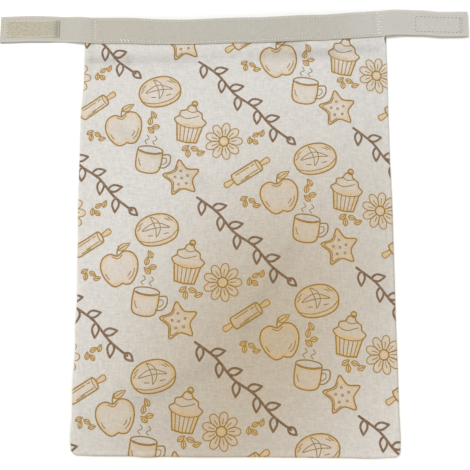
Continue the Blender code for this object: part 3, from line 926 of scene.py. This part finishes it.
# Places inside a patch on a grid of one pitch, each moved by up to a third of it
def patchPlaces(patch, inset, seed):
    dice = np.random.default_rng(seed)
    u, v = np.meshgrid(*(np.arange(inset - patch[size] / 2, patch[size] / 2 - inset, patch["pitch"])
                         for size in ("length", "width")))
    u, v = (grid.ravel() + dice.uniform(-0.33, 0.33, grid.size) * patch["pitch"] for grid in (u, v))
    x, y, angle = onTape(patch, u, v)
    return x, y, angle, dice


pile, hookWeave = loopPile(), hookTape()
loopBase = patchSheet("loopPatch", loopPatch, pile, "loop")
x, y, angle, dice = patchPlaces(loopPatch, 1.2, 5)
t = np.linspace(0, np.pi, 6)
arch = np.column_stack([-loopPatch["halfSpan"] * np.cos(t), loopPatch["height"] * np.sin(t)])
arch, archFaces = threadShape(arch, [loopPatch["radius"]] * len(t), 4)
root = loopPatch["liesAt"] + loopPatch["base"] - 0.05
places = np.column_stack([x, y, np.full(len(x), root)])
turns, sizes = dice.uniform(0, np.pi, len(x)), dice.uniform(0.7, 1.05, len(x))
points, faces = repeated(arch, archFaces, places, turns, sizes)
loops = addPiece("loopPile", points, faces, pile, "loop")

hookBase = patchSheet("hookPatch", hookPatch, hookWeave, "hook")
x, y, angle, dice = patchPlaces(hookPatch, 1.6, 6)
t = np.linspace(0, 1, 6)
bend = np.column_stack([0.28 * np.sin(np.pi * t ** 2) + 0.05,
                        -hookPatch["height"] * np.sin(np.pi / 2 * 1.35 * t)])
hook, hookFaces = threadShape(bend, [hookPatch["radius"]] * len(t), 4)
places = np.column_stack([x, y, np.full(len(x), hookPatch["liesAt"] + 0.05)])
points, faces = repeated(hook, hookFaces, places, dice.choice([0, np.pi], len(x)) + angle)
hooks = addPiece("hookPile", points, faces, hookWeave, "hook")
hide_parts("loop_patch")
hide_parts("hook_patch")
print("patches done")


# Sewing
stitching = {
    "pitch": 2.9,  # really about 2.45 mm, at which thread thick enough to show blurs into a line
    "cream": "#E9E6DC", "brown": "#6E5C42", "grey": "#D6CFC5",
    "columnsAt": (-139.6, -146.4), "barTackAt": 142.9,
    # length and radius of the stitches
    "lowerRow": (1.3, 0.44), "upperRow": (1.3, 0.34), "column": (1.5, 0.37), "faintColumn": (1.3, 0.20),
    "barTack": (4.6, 0.41), "loopRows": (1.5, 0.30), "tapeEnd": (2.4, 0.34), "overlap": (3.6, 0.46),
    "hookRows": (1.3, 0.28),
}


# Sewing thread: twisted polyester, a soft sheen along each stitch
def thread(name, colour):
    material, tree, shader = newMaterial(name, colour, roughness=0.55, sheen=0.2)
    place = millimetres(tree)
    ply = addNode(tree, "TexWave", {"Vector": place, "Scale": 0.8}, bands_direction="DIAGONAL", out=1)
    addBump(tree, shader, [(ply, 0.05)])
    return material


# One stitch of a length: a parabola that dips into the cloth at both ends
def stitchShape(length, radius, height=0.22, dip=0.18):
    t = np.linspace(-1, 1, 5)
    path = np.column_stack([t * length / 2, (height + dip) * (1 - t ** 2) - dip])
    return threadShape(path, radius * np.array([0.55, 0.95, 1.0, 0.95, 0.55]), 6)


# Row of places from a to b at one pitch, each a little off
def stitchRow(a, b, pitch, seed, off=0.12):
    a, b = np.array(a, float), np.array(b, float)
    count = int(np.linalg.norm(b - a) / pitch)
    share = (np.arange(count) + 0.5) / count
    wobble = np.random.default_rng(seed).uniform(-off, off, (count, 2))
    return a + (b - a) * share[:, None] + wobble, np.full(count, np.arctan2(*(b - a)[::-1]))


# The same, with each place set off and leant by turns to either side
def zigzag(a, b, pitch, off, lean):
    flat, turns = stitchRow(a, b, pitch, 0, 0)
    side = (-1.0) ** np.arange(len(flat))
    return flat + off * side[:, None] * np.column_stack([-np.sin(turns), np.cos(turns)]), turns + lean * side


# Stitches of one size at all places of some rows, each at the height that its ground has there
def sew(name, rows, size, height, material):
    shape, faces = stitchShape(*size)
    flat, turns = np.concatenate([row[0] for row in rows]), np.concatenate([row[1] for row in rows])
    places = np.column_stack([flat, height(flat[:, 0], flat[:, 1])])
    return addPiece(name, *repeated(shape, faces, places, turns), material, "tape")


# Rows along the tape follow its line, so their places are (x, distance from the tape's middle)
def alongTape(row):
    flat, turns = row
    x, v = flat.T
    slope = np.arctan2(tapeCentre(x + 2) - tapeCentre(x - 2), 4)
    return np.column_stack([x, tapeCentre(x) + v]), turns + slope


# Height of the tape's upper side at a place
def tapeHeight(x, y):
    return tapeTop(x, y - tapeCentre(x))


pitch = stitching["pitch"]
low, high = tapeLook["rows"]
runs = ((-138, 143, high), (-138, -115, low), (-103, 143, low))  # from x, to x, row
rows = [alongTape(stitchRow((a, v), (b, v), pitch, 31 + k)) for k, (a, b, v) in enumerate(runs)]
creamThread = thread("polyesterThreadCream", stitching["cream"])
tapeSeams = sew("tapeStitches", rows[1:], stitching["lowerRow"], tapeHeight, creamThread)
upperSeam = sew("upperStitches", rows[:1], stitching["upperRow"], tapeHeight, creamThread)

at = stitching["columnsAt"]
column = alongTape(zigzag((at[0], -10.6), (at[0], 10.2), 2.6, 0.4, 0.5))
columns = sew("columnStitches", [column], stitching["column"], tapeHeight, creamThread)
greyThread = thread("polyesterThreadGrey", stitching["grey"])
column = alongTape(stitchRow((at[1], -10.6), (at[1], 10.2), pitch, 34))
faintColumn = sew("faintStitches", [column], stitching["faintColumn"], tapeHeight, greyThread)

# Bar tack: long stitches side by side down the tape, shifted by turns like rungs
rung = np.arange(-10.2, 10.3, pitch)
middle = stitching["barTackAt"] + 0.5 * (-1.0) ** np.arange(len(rung))
rungs = alongTape((np.column_stack([middle, rung]), np.full(len(rung), 0.06)))
barTack = sew("barTack", [rungs], stitching["barTack"], tapeHeight, creamThread)


# One level for all stitches of a patch
def patchHeight(level):
    return lambda x, y: np.full(len(x), level)


# Four rows round a patch, the one at its +X end drawn in further
def patchRows(patch, inset, seed, pitch, endInset):
    halfU, halfV = patch["length"] / 2, patch["width"] / 2 - inset
    first, last = inset - halfU, halfU - endInset
    corners = [(first, halfV), (last, halfV), (last, -halfV), (first, -halfV)]
    rows = []
    for k in range(4):
        flat, turns = stitchRow(corners[k], corners[(k + 1) % 4], pitch, seed + k, 0.08)
        x, y, angle = onTape(patch, *flat.T)
        rows.append((np.column_stack([x, y]), turns + angle))
    return rows


rows = patchRows(loopPatch, 1.5, 50, 2.6, 4.2)
loopSeam = sew("loopStitches", rows, stitching["loopRows"], patchHeight(2.05), creamThread)
flat, turns = stitchRow((-231.5, -9.5), (-231.5, 10.0), 2.6, 60)
rows = [alongTape((flat, turns - 0.6))]
endSeam = sew("tapeEndStitches", rows, stitching["tapeEnd"], tapeHeight, creamThread)
flat, turns = stitchRow((-114.35, -11.0), (-103.8, -11.0), 3.5, 61, 0.05)  # where the lower row starts again
rows = [alongTape((flat, turns - 0.85))]
startAgain = sew("overlapStitches", rows, stitching["overlap"], tapeHeight, creamThread)
# Stitches round the hook patch: real stitches, dark brown also as painted shade for the needle holes they
# sink into
brownThreadAndShade = thread("polyesterThreadBrownAndShade", stitching["brown"])
flat, turns = zigzag((21.6, -7.7), (21.6, 7.7), 2.2, 0.7, 0.7)
x, y, angle = onTape(hookPatch, *flat.T)
rows = patchRows(hookPatch, 1.4, 70, 3.7, 1.4) + [(np.column_stack([x, y]), turns + angle)]
hookSeam = sew("hookStitches", rows, stitching["hookRows"], tapeHeight, brownThreadAndShade)
print("sewing done")


# Floor, light and camera
studio = {
    "floor": "#FBFBF9", "floorSize": 6.0, "world": (1.0, 0.97, 0.94, 1.0), "worldStrength": 0.37,
    # place in metres, size, power, colour: a key from the upper left and soft lamps round the table
    "lamps": (((-0.75, 0.55, 1.30), 0.6, 13.2, (1.0, 0.98, 0.94)),
              ((0.45, 0.45, 0.42), 0.5, 1.20, (0.86, 0.99, 1.12)),
              ((-0.50, -0.05, 0.40), 0.5, 0.62, (0.90, 1.0, 1.02)),
              ((0.40, -0.47, 0.58), 0.5, 2.30, (1.0, 0.94, 0.84))),
    "distance": 560.0, "elevation": 82.5, "target": (-0.65, -6.9, 2.0), "lens": 44.93, "sensor": 36.0,
}
mesh = bpy.data.meshes.new("floor")
half = studio["floorSize"] / 2
mesh.from_pydata([(-half, -half, 0), (half, -half, 0), (half, half, 0), (-half, half, 0)], [], [(0, 1, 2, 3)])
floor = bpy.data.objects.new("floor", mesh)
floor.location.z = -0.0002
bpy.context.collection.objects.link(floor)
paper = newMaterial("mattPaper", studio["floor"], roughness=0.95, sheen=0.0)[0]
mesh.materials.append(paper)

world = bpy.data.worlds.new("softStudio")
world.use_nodes = True
world.node_tree.nodes["Background"].inputs[0].default_value = studio["world"]
world.node_tree.nodes["Background"].inputs[1].default_value = studio["worldStrength"]
bpy.context.scene.world = world
bpy.context.scene.view_settings.view_transform = "Standard"

for place, size, power, colour in studio["lamps"]:
    lamp = bpy.data.lights.new("softLamp", "AREA")
    lamp.shape, lamp.size, lamp.energy, lamp.color = "DISK", size, power, colour
    holder = bpy.data.objects.new("softLamp", lamp)
    holder.location = place
    holder.rotation_euler = (-Vector(place)).to_track_quat("-Z", "Y").to_euler()
    bpy.context.collection.objects.link(holder)

lensData = bpy.data.cameras.new("camera")
lensData.lens, lensData.sensor_width = studio["lens"], studio["sensor"]
lensData.clip_start, lensData.clip_end = 0.01, 20
camera = bpy.data.objects.new("camera", lensData)
up = np.radians(studio["elevation"])
target = Vector(studio["target"]) * mm
back = Vector((0, -np.cos(up), np.sin(up)))
camera.location = target + back * studio["distance"] * mm
camera.rotation_euler = (-back).to_track_quat("-Z", "Y").to_euler()
bpy.context.collection.objects.link(camera)
bpy.context.scene.camera = camera
print("studio done")
